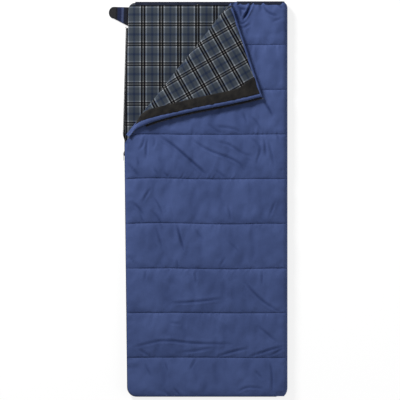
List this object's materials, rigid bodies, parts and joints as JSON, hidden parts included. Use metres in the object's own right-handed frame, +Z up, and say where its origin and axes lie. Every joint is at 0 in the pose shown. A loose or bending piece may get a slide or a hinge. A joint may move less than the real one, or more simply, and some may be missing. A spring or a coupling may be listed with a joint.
{
  "type": "rectangular sleeping bag",
  "caption": "Quilted rectangular sleeping bag lying flat, side and foot zip, plaid lining, one head corner of the top folded back on a hinge line, closing tab at the head.",
  "frame": {"origin": "on the flat underside, at the middle of the bag", "axes": "+Y towards the head end, +X towards the folded side without zip, +Z up"},
  "size_m": [0.8815, 1.9489, 0.0835],
  "materials": {
    "shell": "smooth blue polyester with a soft sheen",
    "lining": "brushed flannel in a traditional dark blue, black and grey check",
    "fill": "white hollow fibre wadding",
    "binding": "dark navy woven binding",
    "facing": "plain brown-black woven strip",
    "thread": "navy sewing thread",
    "zip": "black nylon coil and woven tape",
    "metal": "black enamelled zinc",
    "webbing": "navy tab cloth with woven stripes",
    "hook": "black hook and loop pile"
  },
  "bodies": {
    "base": {"base_fill": "fill", "base_head_binding": "binding", "base_lining": "lining", "base_seam_thread_1": "thread", "base_seam_thread_2": "thread", "base_seam_thread_3": "thread", "base_seam_thread_4": "thread", "base_seam_thread_5": "thread", "base_seam_thread_6": "thread", "base_seam_thread_7": "thread", "base_seam_thread_8": "thread", "base_shell": "shell", "base_top_stop": "metal", "base_zip_coil": "zip", "base_zip_tape": "zip", "side_fold": "shell", "zip_bottom_stop": "metal"},
    "top": {"fold_bend": "lining", "top_fill": "fill", "top_head_binding": "binding", "top_lining": "lining", "top_seam_thread_1": "thread", "top_seam_thread_2": "thread", "top_seam_thread_3": "thread", "top_seam_thread_4": "thread", "top_seam_thread_5": "thread", "top_seam_thread_6": "thread", "top_seam_thread_7": "thread", "top_seam_thread_8": "thread", "top_shell": "shell", "top_zip_coil": "zip", "top_zip_tape": "zip"},
    "flap": {"flap_facing": "facing", "flap_fill": "fill", "flap_head_binding": "binding", "flap_lining": "lining", "flap_seam_thread_1": "thread", "flap_seam_thread_2": "thread", "flap_shell": "shell", "flap_top_stop": "metal", "flap_zip_coil": "zip", "flap_zip_tape": "zip", "loop_patch": "hook"},
    "slider": {"zip_slider": "metal"},
    "puller": {"zip_puller": "metal"},
    "tab_root": {"tab_root": "webbing"},
    "tab_tip": {"hook_patch": "hook", "tab_tip": "webbing"}
  },
  "joints": [
    {"name": "top_open", "type": "hinge", "parent": "base", "child": "top", "pos_m": [0.4, 0, 0.029], "axis": [0, 1, 0], "range_deg": [0, 170], "deforming": ["side_fold"]},
    {"name": "corner_fold", "type": "hinge", "parent": "top", "child": "flap", "pos_m": [-0.0806, 0.7185, 0.059], "axis": [-0.6225, -0.7826, 0], "range_deg": [0, 180], "deforming": ["fold_bend"]},
    {"name": "zip_slide", "type": "slide", "parent": "base", "child": "slider", "axis": [0.0113, -0.9999, 0], "range_m": [0, 1.08]},
    {"name": "puller_swing", "type": "hinge", "parent": "slider", "child": "puller", "pos_m": [-0.40799, 0.22494, 0.029], "axis": [0, 0, -1], "range_deg": [0, 170]},
    {"name": "tab_wrap", "type": "hinge", "parent": "base", "child": "tab_root", "pos_m": [-0.38732, 0.902, 0.007], "axis": [0.0272, 0.9996, 0], "range_deg": [0, 90]},
    {"name": "tab_tip_wrap", "type": "hinge", "parent": "tab_root", "child": "tab_tip", "pos_m": [-0.4433, 0.90352, 0.0082], "axis": [0.0272, 0.9996, 0], "range_deg": [0, 90]}
  ]
}
